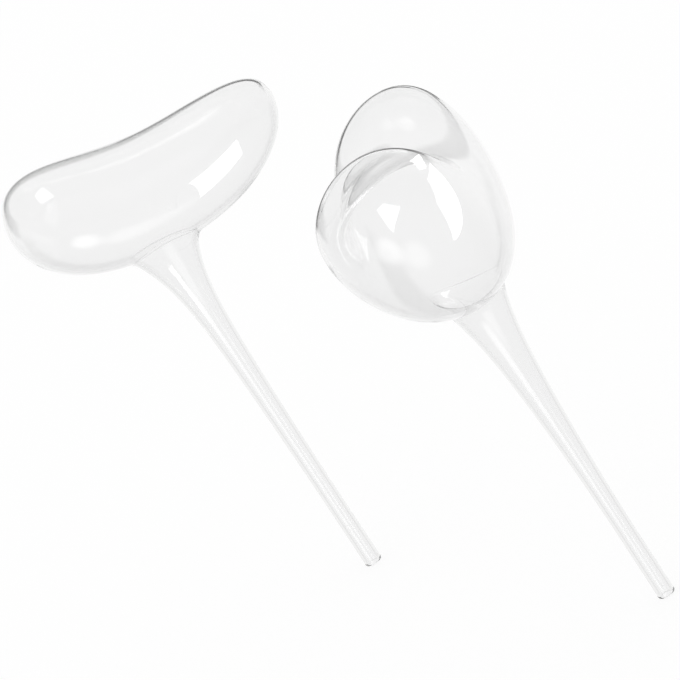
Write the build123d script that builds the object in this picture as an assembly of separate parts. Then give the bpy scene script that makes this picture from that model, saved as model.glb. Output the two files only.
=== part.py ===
from build123d import *
import os
from math import cos, radians, sin, sqrt

# A pair of lamp-worked glass watering globes, stood upright as they are in the soil. Each is a hollow
# bean-shaped bulb fused to a tapered hollow stem, and the stem's open tip is at height zero.
# All lengths are in millimetres and all angles in degrees.

# Glass tube of the stems, the same for both globes, with the tip's rim rounded by a share of its wall
TIP_RADIUS = 4.0
BORE_RADIUS = 2.5
TIP_STRAIGHT = 30.0
RIM_ROUND_SHARE = 0.4

# How quickly the stem swells: the long taper, and the short flare under the weld
TAPER_POWER = 2.0
FLARE_POWER = 9.0

# Bead that the flame leaves where stem and bulb are fused
WELD_HEIGHT = 1.3
WELD_BULGE = 0.25

# Glass of the bulbs
BULB_WALL = 1.2

# Left globe: where its tip stands and how far it is turned
LEFT_X = 0.0
LEFT_Y = 0.0
LEFT_TURN_ANGLE = 2.7

# Left stem: its length, and its outer radius at the weld and below the flare
LEFT_STEM_LENGTH = 175.4
LEFT_NECK_RADIUS = 12.8
LEFT_SHOULDER_RADIUS = 7.0

# Left bulb: half its length along the bend, how far each lobe bends up and both bow to one side, and its
# middle cross-section
LEFT_HALF_LENGTH = 66.4
LEFT_BEND_ANGLE = 29.4
LEFT_SIDE_BOW = 0.0
LEFT_HALF_WIDTH = 38.7
LEFT_CROWN_HEIGHT = 19.2
LEFT_BELLY_DEPTH = 29.7

# Left lobes: how much wider and deeper one is than the other, and the power that blunts their ends
LEFT_WIDTH_TAPER = -0.30
LEFT_DEPTH_TAPER = -0.115
LEFT_END_POWER = 3.2

# Left bulb on its stem: the collar under it, the rounding into the collar, how far it leans along its
# length and rolls to its side, and its offsets
LEFT_COLLAR_HEIGHT = 1.6
LEFT_COLLAR_ROUND = 1.5
LEFT_LEAN_ANGLE = 7.4
LEFT_ROLL_ANGLE = 0.0
LEFT_SHIFT = 10.3
LEFT_SIDE_SHIFT = 0.0

# Right globe, the same sizes again
RIGHT_X = 98.4
RIGHT_Y = -219.2
RIGHT_TURN_ANGLE = 79.0

RIGHT_STEM_LENGTH = 153.7
RIGHT_NECK_RADIUS = 12.4
RIGHT_SHOULDER_RADIUS = 9.9

RIGHT_HALF_LENGTH = 86.3
RIGHT_BEND_ANGLE = 72.8
RIGHT_SIDE_BOW = -6.6
RIGHT_HALF_WIDTH = 33.9
RIGHT_CROWN_HEIGHT = 15.0
RIGHT_BELLY_DEPTH = 41.0

RIGHT_WIDTH_TAPER = 0.0
RIGHT_DEPTH_TAPER = 0.20
RIGHT_END_POWER = 5.0

RIGHT_COLLAR_HEIGHT = 6.0
RIGHT_COLLAR_ROUND = 3.5
RIGHT_LEAN_ANGLE = 10.4
RIGHT_ROLL_ANGLE = -14.8
RIGHT_SHIFT = -12.4
RIGHT_SIDE_SHIFT = 0.2

# Drawing steps: where cross-sections of the bulb are drawn, counted round its long outline, and where
# the stem's curve is pinned, as shares of its taper
SECTION_ANGLES = (-75, -55, -30, 0, 30, 55, 75)
STEM_STEPS = (0.0, 0.05, 0.12, 0.24, 0.42, 0.68, 1.0)

STEM_WALL = TIP_RADIUS - BORE_RADIUS


def bulb_section(half_width, crown, belly, plane):
    """One egg-shaped cross-section: a flatter half ellipse over a deeper one."""
    over = EllipticalCenterArc((0, 0), half_width, crown, 0, arc_size=180)
    under = EllipticalCenterArc((0, 0), half_width, belly, 180, arc_size=180)
    return Face(plane * Wire([over, under]))


def bulb_form(half_length, bend_angle, side_bow, middle_sizes, width_taper, depth_taper, end_power, inset):
    """A long egg bent upwards at both ends, its middle at the origin, shrunk all round by inset."""
    bend_radius = half_length / radians(bend_angle)
    half_width, crown, belly = middle_sizes

    def spine_plane(share):
        angle = share * (half_length - inset) / bend_radius
        middle = (bend_radius * sin(angle), side_bow * share**2, bend_radius * (1 - cos(angle)))
        return Plane(origin=middle, x_dir=(0, 1, 0), z_dir=(cos(angle), 0, sin(angle)))

    sections = []
    for section_angle in SECTION_ANGLES:
        share = sin(radians(section_angle))
        fullness = sqrt(1 - abs(share) ** end_power)
        width = half_width * (1 + width_taper * share) - inset
        over = crown * (1 + depth_taper * share) - inset
        under = belly * (1 + depth_taper * share) - inset
        plane = spine_plane(share)
        sections.append(bulb_section(width * fullness, over * fullness, under * fullness, plane))
    first_end, last_end = [Vertex(*spine_plane(share).origin) for share in (-1, 1)]
    return loft([first_end, *sections, last_end])


def bulb(shape, neck_radius, collar_height, collar_round, lean_and_roll, offsets):
    """Hollow bulb with its collar's lower face at height zero, the collar centred on the stem's axis."""
    belly = shape["middle_sizes"][2]
    lean_angle, roll_angle = lean_and_roll
    to_stem = Pos(*offsets, collar_height + belly) * Rot(Y=lean_angle) * Rot(X=roll_angle)
    outside = to_stem * bulb_form(**shape, inset=0)
    inside = to_stem * bulb_form(**shape, inset=BULB_WALL)

    upwards = (Align.CENTER, Align.CENTER, Align.MIN)
    collar = Cylinder(neck_radius, collar_height + belly, align=upwards)
    opening = Cylinder(neck_radius - STEM_WALL, collar_height + belly, align=upwards)

    solid = outside + collar
    collar_side = solid.faces().filter_by(GeomType.CYLINDER)[0]
    join = collar_side.edges().filter_by(GeomType.BSPLINE)
    return fillet(join, collar_round) - inside - opening


def weld_ring(neck_radius):
    """Bead between stem and collar, bulging inwards and outwards, its lower face at height zero."""
    inner = neck_radius - STEM_WALL
    middle = WELD_HEIGHT / 2
    outline = [
        Line((inner, 0), (neck_radius, 0)),
        ThreePointArc((neck_radius, 0), (neck_radius + WELD_BULGE, middle), (neck_radius, WELD_HEIGHT)),
        Line((neck_radius, WELD_HEIGHT), (inner, WELD_HEIGHT)),
        ThreePointArc((inner, WELD_HEIGHT), (inner - WELD_BULGE, middle), (inner, 0)),
    ]
    return revolve(Plane.XZ * make_face(outline), Axis.Z)


def stem(length, neck_radius, shoulder_radius):
    """Hollow tapered stem with its open tip at height zero."""
    taper_length = length - TIP_STRAIGHT

    def swell(share):
        rest = 1 - share
        taper = (shoulder_radius - TIP_RADIUS) * rest**TAPER_POWER
        flare = (neck_radius - shoulder_radius) * rest**FLARE_POWER
        return taper + flare

    def side(radius):
        points = [(radius + swell(share), length - share * taper_length) for share in STEM_STEPS]
        return Spline(*points)

    outer_top = (TIP_RADIUS + swell(0), length)
    inner_top = (BORE_RADIUS + swell(0), length)
    outline = [
        Line(inner_top, outer_top),
        side(TIP_RADIUS),
        Line((TIP_RADIUS, TIP_STRAIGHT), (TIP_RADIUS, 0)),
        Line((TIP_RADIUS, 0), (BORE_RADIUS, 0)),
        Line((BORE_RADIUS, 0), (BORE_RADIUS, TIP_STRAIGHT)),
        side(BORE_RADIUS),
    ]
    tube = revolve(Plane.XZ * make_face(outline), Axis.Z)
    rim = tube.edges().group_by(Axis.Z)[0]
    return fillet(rim, RIM_ROUND_SHARE * STEM_WALL)


def planted(piece, height, x, y, turn_angle):
    """A piece lifted to its height on the stem, turned, and stood at its globe's place."""
    return Pos(x, y, height) * Rot(Z=turn_angle) * piece


left_stem = stem(LEFT_STEM_LENGTH, LEFT_NECK_RADIUS, LEFT_SHOULDER_RADIUS)
left_weld_ring = weld_ring(LEFT_NECK_RADIUS)
left_shape = {
    "half_length": LEFT_HALF_LENGTH,
    "bend_angle": LEFT_BEND_ANGLE,
    "side_bow": LEFT_SIDE_BOW,
    "middle_sizes": (LEFT_HALF_WIDTH, LEFT_CROWN_HEIGHT, LEFT_BELLY_DEPTH),
    "width_taper": LEFT_WIDTH_TAPER,
    "depth_taper": LEFT_DEPTH_TAPER,
    "end_power": LEFT_END_POWER,
}
left_slant = (LEFT_LEAN_ANGLE, LEFT_ROLL_ANGLE)
left_offsets = (LEFT_SHIFT, LEFT_SIDE_SHIFT)
left_bulb = bulb(
    left_shape, LEFT_NECK_RADIUS, LEFT_COLLAR_HEIGHT, LEFT_COLLAR_ROUND, left_slant, left_offsets
)

right_stem = stem(RIGHT_STEM_LENGTH, RIGHT_NECK_RADIUS, RIGHT_SHOULDER_RADIUS)
right_weld_ring = weld_ring(RIGHT_NECK_RADIUS)
right_shape = {
    "half_length": RIGHT_HALF_LENGTH,
    "bend_angle": RIGHT_BEND_ANGLE,
    "side_bow": RIGHT_SIDE_BOW,
    "middle_sizes": (RIGHT_HALF_WIDTH, RIGHT_CROWN_HEIGHT, RIGHT_BELLY_DEPTH),
    "width_taper": RIGHT_WIDTH_TAPER,
    "depth_taper": RIGHT_DEPTH_TAPER,
    "end_power": RIGHT_END_POWER,
}
right_slant = (RIGHT_LEAN_ANGLE, RIGHT_ROLL_ANGLE)
right_offsets = (RIGHT_SHIFT, RIGHT_SIDE_SHIFT)
right_bulb = bulb(
    right_shape, RIGHT_NECK_RADIUS, RIGHT_COLLAR_HEIGHT, RIGHT_COLLAR_ROUND, right_slant, right_offsets
)

left_place = (LEFT_X, LEFT_Y, LEFT_TURN_ANGLE)
right_place = (RIGHT_X, RIGHT_Y, RIGHT_TURN_ANGLE)
pieces = {
    "left_stem": planted(left_stem, 0, *left_place),
    "left_weld_ring": planted(left_weld_ring, LEFT_STEM_LENGTH, *left_place),
    "left_bulb": planted(left_bulb, LEFT_STEM_LENGTH + WELD_HEIGHT, *left_place),
    "right_stem": planted(right_stem, 0, *right_place),
    "right_weld_ring": planted(right_weld_ring, RIGHT_STEM_LENGTH, *right_place),
    "right_bulb": planted(right_bulb, RIGHT_STEM_LENGTH + WELD_HEIGHT, *right_place),
}

os.makedirs("parts", exist_ok=True)
for name, piece in pieces.items():
    export_step(piece, f"parts/{name}.step")
    print(name, "volume", round(piece.volume), "valid", piece.is_valid)
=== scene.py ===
import math

import bpy
from mathutils import Matrix, Vector


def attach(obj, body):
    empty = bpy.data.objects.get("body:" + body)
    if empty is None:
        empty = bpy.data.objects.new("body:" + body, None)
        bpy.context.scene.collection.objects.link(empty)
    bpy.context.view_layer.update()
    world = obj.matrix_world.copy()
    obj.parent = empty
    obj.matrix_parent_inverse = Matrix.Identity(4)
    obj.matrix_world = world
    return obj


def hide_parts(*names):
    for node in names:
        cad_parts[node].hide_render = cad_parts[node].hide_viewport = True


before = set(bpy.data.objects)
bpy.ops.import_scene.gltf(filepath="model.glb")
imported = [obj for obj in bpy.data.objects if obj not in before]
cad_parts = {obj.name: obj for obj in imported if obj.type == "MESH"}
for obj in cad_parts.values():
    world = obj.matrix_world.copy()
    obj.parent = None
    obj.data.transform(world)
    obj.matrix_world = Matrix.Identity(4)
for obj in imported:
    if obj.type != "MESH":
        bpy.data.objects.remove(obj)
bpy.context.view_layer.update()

# A pair of clear glass watering globes over white paper. Each globe is one fused piece of glass, which
# stands for its bulb, weld ring and stem. The globes' sizes are in millimetres and degrees, as in the part's
# source, and are shrunk to metres at the end. The camera, floor and lamps are placed in metres.
MM = 0.001

# Glass tube of the stems, and the thinner glass of the bulbs, which it changes to above the weld
TIP_RADIUS = 4.0
TIP_STRAIGHT = 30.0
TAPER_POWER = 2.0
FLARE_POWER = 9.0
STEM_WALL = 1.5
BULB_WALL = 1.2
WALL_CHANGE = 12.0

# Rim of the open tip: every edge sharper than this angle is rounded, as fire polishing leaves it
RIM_ROUND = 0.6
RIM_SEGMENTS = 4
RIM_ANGLE = 60.0

# Bead where stem and bulb are fused
WELD_HEIGHT = 1.3
WELD_BULGE = 0.12

# The bulb flows into the stem: from how far below the weld, and how far out from the stem's top
FLOW_DROP = 5.0
FLOW_REACH = 5.0

# Across the bulb's widest line the flat crown changes to the deep belly over this share of its height
SIDE_BLEND = 0.25

# How quickly a raised saddle falls off towards the bulb's ends
SADDLE_POWER = 4

# How finely the glass is drawn: columns round the stem's axis, rings over the bulb, and steps down the stem,
# which a power makes shorter near the bulb. The first rings over the neck make the flow into the stem, and
# those after it change from circles to the bulb's own rings while they widen a little.
COLUMNS = 180
BULB_RINGS = 184
NECK_RING = 4
FLOW_RINGS = 18
ROUND_RINGS = 32
ROUND_REACH = 4.0
STEM_STEPS = 56
STEM_STEP_POWER = 1.4

# Tries in which a place under the bulb is traced back to the ball
TRACE_STEPS = 30

# Sizes of each globe: its place, its stem, its bulb, and how the bulb sits on the stem. They are the part's
# own, apart from what the photograph asks for: the left bulb is further back and lower (side_shift,
# stem_length, collar_height), its stem's head leans forward (neck_y), and the right bulb's fold is shallower
# by the height of its saddle.
LEFT = {
    "x": 0.0, "y": 0.0, "turn": 2.7, "neck_y": -6.0,
    "stem_length": 173.3, "weld": 175.4, "neck_radius": 12.8, "shoulder_radius": 7.0,
    "half_length": 66.4, "bend": 29.4, "side_bow": 0.0,
    "half_width": 38.7, "crown": 19.2, "belly": 29.7, "saddle": 0.0,
    "width_taper": -0.30, "depth_taper": -0.115, "end_power": 3.2,
    "collar_height": 0.8, "lean": 7.4, "roll": 0.0, "shift": 10.3, "side_shift": 8.0,
}
RIGHT = {
    "x": 98.4, "y": -219.2, "turn": 79.0, "neck_y": 0.0,
    "stem_length": 153.7, "weld": 153.7, "neck_radius": 12.4, "shoulder_radius": 9.9,
    "half_length": 86.3, "bend": 72.8, "side_bow": -6.6,
    "half_width": 33.9, "crown": 15.0, "belly": 41.0, "saddle": 18.0,
    "width_taper": 0.0, "depth_taper": 0.20, "end_power": 5.0,
    "collar_height": 6.0, "lean": 10.4, "roll": -14.8, "shift": -12.4, "side_shift": 0.2,
}

# Camera: a long lens from four metres away, above the globes and rolled so that the stems slant
CAMERA_PLACE = (0.0416, -3.7465, 1.4603)
CAMERA_ELEVATION = 20.0
CAMERA_ROLL = -33.3
CAMERA_LENS = 476.47
CAMERA_SENSOR = 36.0
CAMERA_REACH = 100.0

# Floor: a round sheet of paper just under the tips, and the share of it that is seen as plain white
FLOOR_RADIUS = 12.0
FLOOR_CORNERS = 96
FLOOR_HEIGHT = -0.0005
PAPER_WHITE = 0.9

# Studio, as mirror images show it: its brightness in front and behind, the direction that counts as behind,
# and how far along it the one changes to the other
TENT_FRONT = 0.75
TENT_BACK = 0.95
TENT_BEHIND = (0.0, 0.8, 0.6)
TENT_CHANGE = (-0.1, 0.5)

# Dark gap low behind the globes, which draws their upper outlines: where a direction's height enters and
# leaves it, where its depth does, how dark it is, and how bright it stays where it would only leave smears
GAP_FOOT = (-0.12, -0.06)
GAP_TOP = (0.14, 0.24)
GAP_SIDE = (0.55, 0.75)
GAP_DARK = 0.01
GAP_FAINT = 0.85

# A count in the light path over this is at least one, and this is the count, give or take, of glass surfaces
# that light has passed when it has crossed one bulb
ANY = 0.5
CROSSED = 4.0
CROSSED_SPREAD = 1.5


def linear(hex_colour):
    """A colour written as sRGB hex, as the linear values that shaders take."""
    parts = [int(hex_colour[i:i + 2], 16) / 255 for i in (1, 3, 5)]
    return [p / 12.92 if p <= 0.04045 else ((p + 0.055) / 1.055) ** 2.4 for p in parts] + [1.0]


def add_node(tree, kind, settings=None, links=None):
    """One shader node with its settings, and links from other nodes' outputs to its inputs."""
    node = tree.nodes.new(kind)
    for name, value in (settings or {}).items():
        if isinstance(name, int) or name in node.inputs:
            node.inputs[name].default_value = value
        else:
            setattr(node, name, value)
    for name, output in (links or {}).items():
        tree.links.new(output, node.inputs[name])
    return node


def cleared_tree(owner):
    """The empty node tree of a material, world or lamp."""
    owner.use_nodes = True
    owner.node_tree.nodes.clear()
    return owner.node_tree


def glass(name, unevenness, height):
    """Clear glass whose surface swells by a height, over lengths given along X, Y and Z."""
    material = bpy.data.materials.new(name)
    tree = cleared_tree(material)
    place = add_node(tree, "ShaderNodeTexCoord")
    scale = [1 / (length * MM) for length in unevenness]
    stretched = add_node(tree, "ShaderNodeMapping", {"Scale": scale}, {"Vector": place.outputs["Object"]})
    swells = add_node(
        tree, "ShaderNodeTexNoise", {"Scale": 1.0, "Detail": 1.0}, {"Vector": stretched.outputs[0]}
    )
    bump = add_node(
        tree, "ShaderNodeBump", {"Distance": height * MM}, {"Height": swells.outputs["Fac"]}
    )
    clear = add_node(
        tree, "ShaderNodeBsdfPrincipled",
        {"Base Color": linear("#FAFAFA"), "Roughness": 0.0, "IOR": 1.474, "Transmission Weight": 1.0},
        {"Normal": bump.outputs["Normal"]},
    )
    add_node(tree, "ShaderNodeOutputMaterial", None, {"Surface": clear.outputs["BSDF"]})
    return material


def clamp(value, low, high):
    return max(low, min(high, value))


def ease(share):
    """From 0 to 1, without a kink at either end."""
    share = clamp(share, 0.0, 1.0)
    return share * share * (3 - 2 * share)


def turned(first, second, angle):
    """A pair of coordinates turned by an angle in degrees."""
    c, s = math.cos(math.radians(angle)), math.sin(math.radians(angle))
    return first * c - second * s, first * s + second * c


def blown_point(g, ball):
    """Where a point of a unit ball ends up on the blown bulb of globe g, with the stem's axis as Z."""
    # Cross-section at this share of the length: its fullness, half depth and half width
    share = clamp(ball.x, -1.0, 1.0)
    waist = math.sqrt(max(1e-12, 1 - share * share))
    fullness = math.sqrt(max(0.0, 1 - abs(share) ** g["end_power"]))
    over = ball.z / waist
    to_crown = ease((over + SIDE_BLEND) / (2 * SIDE_BLEND))
    crown = g["crown"] + g["saddle"] * waist ** SADDLE_POWER
    half_depth = g["belly"] + (crown - g["belly"]) * to_crown
    depth = half_depth * (1 + g["depth_taper"] * share) * fullness * over
    across = g["half_width"] * (1 + g["width_taper"] * share) * fullness * ball.y / waist
    across += g["side_bow"] * share * share

    # Bend it up at both ends, roll and lean it, and set it on the stem
    bend_radius = g["half_length"] / math.radians(g["bend"])
    along, drop = turned(0.0, bend_radius - depth, -g["bend"] * share)
    across, height = turned(across, bend_radius - drop, g["roll"])
    along, height = turned(along, height, -g["lean"])
    bottom = g["stem_length"] + WELD_HEIGHT + g["collar_height"] + g["belly"]
    return Vector((along + g["shift"], across + g["side_shift"], height + bottom))


def ball_point_over(g, x, y):
    """The point of the unit ball that lands on the bulb's underside, over a place seen from below."""
    reach = g["half_length"] + g["belly"] * math.radians(g["bend"])
    ball = Vector((0, 0, -1))
    for _ in range(TRACE_STEPS):
        landed = blown_point(g, ball)
        ball.x += (x - landed.x) / reach
        ball.y += (y - landed.y) / g["half_width"]
        ball.z = -math.sqrt(max(0.0, 1 - ball.x ** 2 - ball.y ** 2))
    return ball


def stem_radius(g, depth):
    """Outer radius of the stem, counted down from the weld."""
    rest = max(0.0, 1 - depth / (g["stem_length"] - TIP_STRAIGHT))
    taper = (g["shoulder_radius"] - TIP_RADIUS) * rest ** TAPER_POWER
    flare = (g["neck_radius"] - g["shoulder_radius"]) * rest ** FLARE_POWER
    return TIP_RADIUS + taper + flare


def flow_point(g, neck, aside, share):
    """A point on the flow, which leaves the stem's side at share 0 and joins the bulb's underside at 1."""
    start = stem_radius(g, FLOW_DROP)
    end = g["neck_radius"] + FLOW_REACH
    low = g["stem_length"] - FLOW_DROP
    edge = blown_point(g, ball_point_over(g, *(neck + aside * start))).z
    # How much the stem widens over the millimetre where the flow leaves it
    slope = stem_radius(g, FLOW_DROP - 0.5) - stem_radius(g, FLOW_DROP + 0.5)
    rise = 2 * slope * (edge - low)
    reach = start + rise * share + (end - start - rise) * share * share
    point = blown_point(g, ball_point_over(g, *(neck + aside * reach)))
    point.z -= (edge - low) * (1 - share) ** 2

    # The bead runs out over the last third of the flow, because the next ring is close to its end
    bead = clamp((point.z - g["weld"]) / WELD_HEIGHT, 0.0, 1.0)
    bulge = WELD_BULGE * min(1.0, 3 * (1 - share))
    point.xy += aside * bulge * math.sin(math.pi * bead) ** 2
    return point


def globe_point(g, to_foot, ball):
    """Where a point of the sphere goes: on the flow into the stem, or further out on the bulb."""
    ring = round(math.acos(clamp(-ball.z, -1.0, 1.0)) / math.pi * BULB_RINGS) - NECK_RING
    aside = ball.xy.normalized()
    neck = Vector((0, g["neck_y"]))
    if ring <= FLOW_RINGS:
        return flow_point(g, neck, aside, ring / FLOW_RINGS)
    own = to_foot @ ball
    outwards = min(1.0, (ring - FLOW_RINGS) / ROUND_RINGS)
    foot = neck + aside * (g["neck_radius"] + FLOW_REACH + ROUND_REACH * outwards)
    return blown_point(g, own.lerp(ball_point_over(g, *foot), ease(1 - outwards)).normalized())


def blow_bulb(name, g):
    """A sphere cut open over the neck and blown out to the bulb's form, the flow into the stem included."""
    bpy.ops.object.select_all(action="DESELECT")
    bpy.ops.mesh.primitive_uv_sphere_add(segments=COLUMNS, ring_count=BULB_RINGS, radius=1)
    globe = bpy.context.object
    globe.name = name

    bpy.context.tool_settings.mesh_select_mode = (True, False, False)
    cut = -math.cos(math.pi * (NECK_RING - 0.5) / BULB_RINGS)
    bpy.ops.object.mode_set(mode="EDIT")
    bpy.ops.mesh.select_all(action="SELECT")
    bpy.ops.mesh.bisect(plane_co=(0, 0, cut), plane_no=(0, 0, 1), clear_inner=True)
    bpy.ops.mesh.select_all(action="DESELECT")
    bpy.ops.mesh.select_non_manifold()
    bpy.ops.mesh.delete(type="VERT")
    bpy.ops.object.mode_set(mode="OBJECT")

    # The rings turn about the point that sits over the stem
    to_foot = Vector((0, 0, -1)).rotation_difference(ball_point_over(g, 0, g["neck_y"])).to_matrix()
    for vertex in globe.data.vertices:
        vertex.co = globe_point(g, to_foot, vertex.co.normalized())
    return globe


def draw_stem(g):
    """Draws the stem out of the bulb's opening, ring by ring down to the tip."""
    rings = []
    for step in range(STEM_STEPS + 1):
        depth = FLOW_DROP + (g["stem_length"] - FLOW_DROP) * (step / STEM_STEPS) ** STEM_STEP_POWER
        rings.append((stem_radius(g, depth), g["stem_length"] - depth))
    bpy.ops.object.mode_set(mode="EDIT")
    bpy.ops.mesh.select_all(action="DESELECT")
    bpy.ops.mesh.select_non_manifold()
    last_radius, last_y = rings[0][0], g["neck_y"]
    for radius, height in rings[1:]:
        y = g["neck_y"] * height / rings[0][1]
        change = radius / last_radius
        bpy.ops.mesh.extrude_region_move(TRANSFORM_OT_translate={"value": (0, y - last_y, 0)})
        bpy.ops.transform.resize(value=(change, change, 0), center_override=(0, y, height))
        last_radius, last_y = radius, y
    bpy.ops.mesh.select_all(action="SELECT")
    bpy.ops.mesh.normals_make_consistent(inside=False)
    bpy.ops.object.mode_set(mode="OBJECT")


def thicken(globe, g):
    """Grows the wall inwards from the outside, thinner over the bulb, and rounds the tip's rim."""
    thick = globe.vertex_groups.new(name="wall")
    for vertex in globe.data.vertices:
        thinning = ease((vertex.co.z - g["stem_length"]) / WALL_CHANGE) * (1 - BULB_WALL / STEM_WALL)
        thick.add([vertex.index], 1 - thinning, "REPLACE")
    wall = globe.modifiers.new("wall", "SOLIDIFY")
    wall.thickness = STEM_WALL
    wall.vertex_group = "wall"
    wall.offset = -1
    rim = globe.modifiers.new("rim", "BEVEL")
    rim.width = RIM_ROUND
    rim.segments = RIM_SEGMENTS
    rim.angle_limit = math.radians(RIM_ANGLE)
    for modifier in ("wall", "rim"):
        bpy.ops.object.modifier_apply(modifier=modifier)


def glass_globe(name, g, bulb_glass, stem_glass):
    """One globe as the single piece of glass that it is once fused: bulb, neck, weld bead and open stem."""
    globe = blow_bulb(name, g)
    draw_stem(g)
    thicken(globe, g)

    mesh = globe.data
    mesh.materials.append(bulb_glass)
    mesh.materials.append(stem_glass)
    for polygon in mesh.polygons:
        polygon.material_index = 1 if polygon.center.z < g["stem_length"] else 0
    bpy.ops.object.shade_smooth()

    # Stand the globe at its place, in metres
    globe.scale = (MM, MM, MM)
    globe.rotation_euler = (0, 0, math.radians(g["turn"]))
    globe.location = (g["x"] * MM, g["y"] * MM, 0)
    bpy.ops.object.transform_apply(location=True, rotation=True, scale=True)
    return globe


# Borosilicate glass, mouth-blown: clear and colourless, with gentle swells that bend what is seen in it
blown_glass = glass("blown_borosilicate_glass", (25, 25, 25), 0.05)
# The same glass drawn out as tube: faint straight cords run down its length
drawn_glass = glass("drawn_borosilicate_tube", (3, 3, 80), 0.004)

left_globe = glass_globe("left_globe_glass", LEFT, blown_glass, drawn_glass)
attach(left_globe, "left_globe")
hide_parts("left_bulb", "left_weld_ring", "left_stem")

right_globe = glass_globe("right_globe_glass", RIGHT, blown_glass, drawn_glass)
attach(right_globe, "right_globe")
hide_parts("right_bulb", "right_weld_ring", "right_stem")

camera_data = bpy.data.cameras.new("camera")
camera_data.lens = CAMERA_LENS
camera_data.sensor_width = CAMERA_SENSOR
camera_data.clip_end = CAMERA_REACH
camera = bpy.data.objects.new("camera", camera_data)
bpy.context.collection.objects.link(camera)
aim = Matrix.Rotation(math.radians(90 - CAMERA_ELEVATION), 4, "X")
roll = Matrix.Rotation(math.radians(CAMERA_ROLL), 4, "Z")
camera.matrix_world = Matrix.Translation(CAMERA_PLACE) @ aim @ roll
bpy.context.scene.camera = camera


def white_paper(name):
    """Uncoated white paper: plain white to the camera and straight through the glass, with a matt share left
    to take shadows. Mirror images in the glass look past it to the soft light from below."""
    material = bpy.data.materials.new(name)
    tree = cleared_tree(material)
    path = add_node(tree, "ShaderNodeLightPath")
    straight = add_node(
        tree, "ShaderNodeMath", {"operation": "MAXIMUM"},
        {0: path.outputs["Is Camera Ray"], 1: path.outputs["Is Transmission Ray"]},
    )
    share = add_node(
        tree, "ShaderNodeMath", {"operation": "MULTIPLY", 1: PAPER_WHITE}, {0: straight.outputs[0]}
    )
    matt = add_node(tree, "ShaderNodeBsdfDiffuse", {"Color": linear("#FAFAFA")})
    white = add_node(tree, "ShaderNodeEmission", {"Color": linear("#FFFFFF"), "Strength": 1.0})
    sheet = add_node(
        tree, "ShaderNodeMixShader", None, {0: share.outputs[0], 1: matt.outputs[0], 2: white.outputs[0]}
    )
    past = add_node(tree, "ShaderNodeBsdfTransparent")
    mirrored = add_node(
        tree, "ShaderNodeMath", {"operation": "GREATER_THAN", 1: ANY}, {0: path.outputs["Glossy Depth"]}
    )
    seen = add_node(
        tree, "ShaderNodeMixShader", None, {0: mirrored.outputs[0], 1: sheet.outputs[0], 2: past.outputs[0]}
    )
    add_node(tree, "ShaderNodeOutputMaterial", None, {"Surface": seen.outputs[0]})
    return material


bpy.ops.object.select_all(action="DESELECT")
bpy.ops.mesh.primitive_circle_add(
    vertices=FLOOR_CORNERS, radius=FLOOR_RADIUS, fill_type="NGON", location=(0, 0, FLOOR_HEIGHT)
)
floor = bpy.context.object
floor.name = "floor"
floor.data.materials.append(white_paper("white_paper_floor"))
bpy.ops.object.transform_apply(location=True, rotation=True, scale=True)


def dark_gap(tree, path, direction):
    """How much light the gap lets through: little inside it, and all beside it."""
    edges = []
    for axis, (start, end), before, after, change in (
        ("Z", GAP_FOOT, 1.0, GAP_DARK, "LINEAR"),
        ("Z", GAP_TOP, 0.0, 1.0, "SMOOTHSTEP"),
        ("Y", GAP_SIDE, 1.0, 0.0, "SMOOTHSTEP"),
    ):
        edges.append(add_node(
            tree, "ShaderNodeMapRange",
            {
                "interpolation_type": change,
                "From Min": start, "From Max": end, "To Min": before, "To Max": after,
            },
            {"Value": direction.outputs[axis]},
        ))

    # The outer surface, and light that has crossed one bulb's hollow, see hardly any of it
    passed = path.outputs["Transmission Depth"]
    outside = add_node(tree, "ShaderNodeMath", {"operation": "LESS_THAN", 1: ANY}, {0: passed})
    crossed = add_node(
        tree, "ShaderNodeMath", {"operation": "COMPARE", 1: CROSSED, 2: CROSSED_SPREAD}, {0: passed}
    )
    for seen in (outside, crossed):
        edges.append(add_node(
            tree, "ShaderNodeMath", {"operation": "MULTIPLY", 1: GAP_FAINT}, {0: seen.outputs[0]}
        ))

    brightest = edges[0]
    for edge in edges[1:]:
        brightest = add_node(
            tree, "ShaderNodeMath", {"operation": "MAXIMUM"}, {0: brightest.outputs[0], 1: edge.outputs[0]}
        )
    return brightest


def soft_light(tree, sky, around, azimuth, elevation, full, faded, brightness):
    """Adds a round light in a direction, full to one angle from its middle and gone at another."""
    a, e = math.radians(azimuth), math.radians(elevation)
    middle = (math.sin(a) * math.cos(e), -math.cos(a) * math.cos(e), math.sin(e))
    near = add_node(
        tree, "ShaderNodeVectorMath", {"operation": "DOT_PRODUCT", 1: middle}, {0: sky.outputs["Generated"]}
    )
    spot = add_node(
        tree, "ShaderNodeMapRange",
        {
            "interpolation_type": "SMOOTHSTEP",
            "From Min": math.cos(math.radians(faded)), "From Max": math.cos(math.radians(full)),
            "To Min": 0.0, "To Max": brightness,
        },
        {"Value": near.outputs["Value"]},
    )
    return add_node(
        tree, "ShaderNodeMath", {"operation": "ADD"}, {0: around.outputs[0], 1: spot.outputs[0]}
    )


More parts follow.
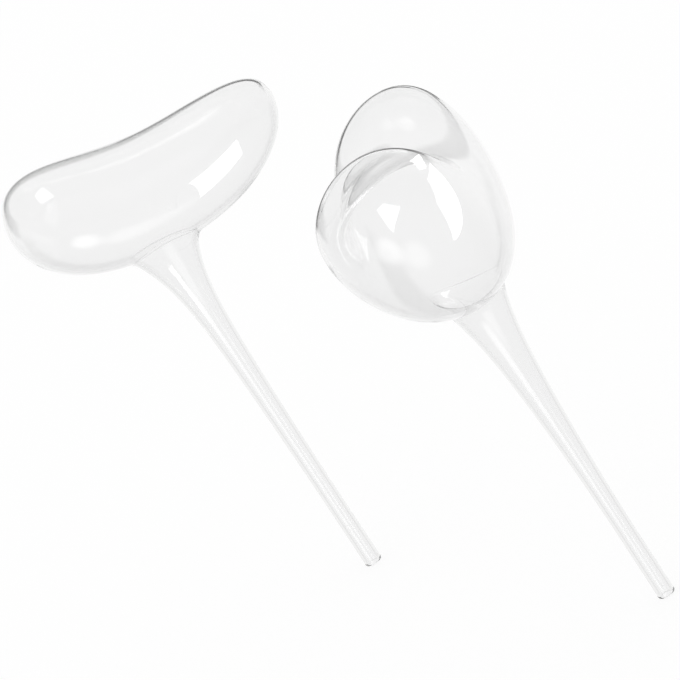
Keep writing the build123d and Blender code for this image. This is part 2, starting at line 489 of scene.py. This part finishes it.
def studio():
    """The room round the globes: white to the camera and on the paper. Mirror images in the glass see it
    brighter behind than in front, with the dark gap behind and two soft lights low in front."""
    world = bpy.data.worlds.new("studio")
    tree = cleared_tree(world)
    path = add_node(tree, "ShaderNodeLightPath")
    sky = add_node(tree, "ShaderNodeTexCoord")
    direction = add_node(tree, "ShaderNodeSeparateXYZ", None, {0: sky.outputs["Generated"]})
    behind = add_node(
        tree, "ShaderNodeVectorMath", {"operation": "DOT_PRODUCT", 1: TENT_BEHIND},
        {0: sky.outputs["Generated"]},
    )
    tent = add_node(
        tree, "ShaderNodeMapRange",
        {
            "interpolation_type": "SMOOTHSTEP", "From Min": TENT_CHANGE[0], "From Max": TENT_CHANGE[1],
            "To Min": TENT_FRONT, "To Max": TENT_BACK,
        },
        {"Value": behind.outputs["Value"]},
    )
    gap = dark_gap(tree, path, direction)
    room = add_node(
        tree, "ShaderNodeMath", {"operation": "MULTIPLY"}, {0: tent.outputs[0], 1: gap.outputs[0]}
    )
    room = soft_light(tree, sky, room, azimuth=-32, elevation=-32, full=3, faded=22, brightness=1.6)
    room = soft_light(tree, sky, room, azimuth=5, elevation=-50, full=3, faded=20, brightness=0.8)

    mirrored = add_node(
        tree, "ShaderNodeBackground", {"Color": linear("#FFFFFF")}, {"Strength": room.outputs[0]}
    )
    white = add_node(tree, "ShaderNodeBackground", {"Color": linear("#FFFFFF"), "Strength": 1.0})
    plain = add_node(
        tree, "ShaderNodeMath", {"operation": "MAXIMUM"},
        {0: path.outputs["Is Camera Ray"], 1: path.outputs["Is Diffuse Ray"]},
    )
    seen = add_node(
        tree, "ShaderNodeMixShader", None, {0: plain.outputs[0], 1: mirrored.outputs[0], 2: white.outputs[0]}
    )
    add_node(tree, "ShaderNodeOutputWorld", None, {"Surface": seen.outputs[0]})
    return world


bpy.context.scene.world = studio()


def panel(name, place, facing, width, height, brightness):
    """A rectangular lamp that faces a direction, as bright all over as given, where 1 is white paper.

    Only its mirror images are seen, so it doesn't show through the glass from behind."""
    lamp = bpy.data.lights.new(name, "AREA")
    lamp.shape = "RECTANGLE"
    lamp.size = width
    lamp.size_y = height
    lamp.energy = brightness * math.pi * width * height
    lamp.diffuse_factor = 0.0
    tree = cleared_tree(lamp)
    path = add_node(tree, "ShaderNodeLightPath")
    mirrored = add_node(
        tree, "ShaderNodeMath", {"operation": "GREATER_THAN", 1: ANY}, {0: path.outputs["Glossy Depth"]}
    )
    glow = add_node(tree, "ShaderNodeEmission", None, {"Strength": mirrored.outputs[0]})
    add_node(tree, "ShaderNodeOutputLight", None, {"Surface": glow.outputs[0]})
    holder = bpy.data.objects.new(name, lamp)
    bpy.context.collection.objects.link(holder)
    holder.visible_camera = False
    holder.location = place
    holder.rotation_euler = Vector(facing).to_track_quat("-Z", "Y").to_euler()


# Small panels close to the bulbs, each for the crisp highlights that it leaves in one of them
panel("left_bulb_panel", (0.132, -0.116, 0.14), (0.03, 0.985, 0.168), 0.115, 0.12, 4)
panel("right_bulb_panel", (0.459, -0.255, 0.148), (-0.08, -0.677, 0.732), 0.40, 0.25, 4)
panel("right_bulb_far_panel", (0.492, -0.099, 0.289), (0.082, -0.488, -0.869), 0.374, 0.128, 3.5)

bpy.context.scene.view_settings.view_transform = "Standard"

# Light runs on inside the glass walls for many reflections before it leaves them
bounces = bpy.context.scene.cycles
bounces.max_bounces = 128
bounces.glossy_bounces = 96
bounces.transmission_bounces = 128
bounces.transparent_max_bounces = 16
